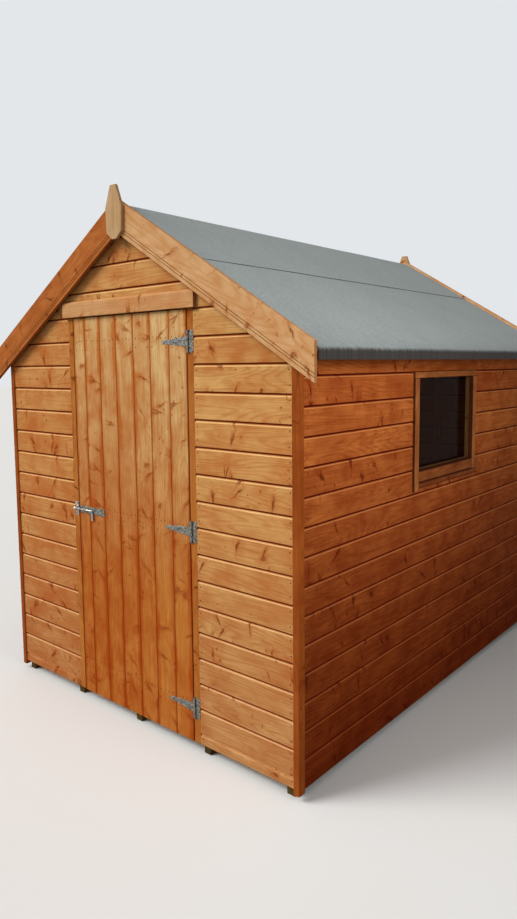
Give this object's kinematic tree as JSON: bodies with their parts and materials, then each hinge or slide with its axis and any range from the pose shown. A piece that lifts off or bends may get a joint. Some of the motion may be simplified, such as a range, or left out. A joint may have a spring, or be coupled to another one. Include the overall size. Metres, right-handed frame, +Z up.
{
  "type": "wooden garden shed",
  "caption": "Timber garden shed with shiplap walls on a framed base, an opening ledged door on tee hinges with a sliding pad bolt, a fixed side window and a felted apex roof.",
  "frame": {"origin": "centre of the footprint on the ground", "axes": "+Z up, -Y out of the door gable, +X out of the window wall"},
  "size_m": [2.084, 2.556, 2.4017],
  "materials": {
    "stained_cladding": "planed softwood boards with a golden-brown dip stain",
    "bargeboard_timber": "planed softwood with a light golden-brown stain",
    "pale_timber": "planed softwood, hardly stained",
    "sawn_framing": "sawn untreated softwood",
    "galvanised_steel": "hot-dip galvanised, spangled and dull",
    "window_glass": "clear horticultural glass",
    "mineral_felt": "grey-green mineral roofing felt"
  },
  "bodies": {
    "shed": {"back_barge_left": "bargeboard_timber", "back_barge_right": "bargeboard_timber", "back_finial": "pale_timber", "back_rails": "sawn_framing", "back_studs": "sawn_framing", "back_wall": "stained_cladding", "bolt_keeper": "galvanised_steel", "corner_strips": "stained_cladding", "door_jambs": "stained_cladding", "drip_board": "stained_cladding", "eaves_battens": "sawn_framing", "felt_left": "mineral_felt", "felt_right": "mineral_felt", "floor_bearers": "sawn_framing", "floor_boards": "sawn_framing", "front_barge_left": "bargeboard_timber", "front_barge_right": "bargeboard_timber", "front_finial": "pale_timber", "front_gable": "stained_cladding", "front_rails": "sawn_framing", "front_studs": "sawn_framing", "front_wall_left": "stained_cladding", "front_wall_right": "stained_cladding", "hinge_plates": "galvanised_steel", "left_rails": "sawn_framing", "left_studs": "sawn_framing", "left_wall": "stained_cladding", "ridge_board": "sawn_framing", "ridge_felt": "mineral_felt", "right_rails": "sawn_framing", "right_studs": "sawn_framing", "right_wall": "stained_cladding", "roof_left": "sawn_framing", "roof_purlins": "sawn_framing", "roof_right": "sawn_framing", "window_frame": "stained_cladding", "window_glass": "window_glass", "window_sill": "stained_cladding"},
    "door": {"door_leaf": "stained_cladding", "door_ledges": "sawn_framing", "door_braces": "sawn_framing", "hinge_straps": "galvanised_steel", "bolt_plate": "galvanised_steel"},
    "bolt": {"bolt_bar": "galvanised_steel"}
  },
  "joints": [
    {"name": "door_hinge", "type": "hinge", "parent": "shed", "child": "door", "pos_m": [0.391, -1.2353, 0.955], "axis": [0, 0, 1], "range_deg": [0, 160]},
    {"name": "bolt_slide", "type": "slide", "parent": "door", "child": "bolt", "axis": [1, 0, 0], "range_m": [0, 0.045]}
  ]
}
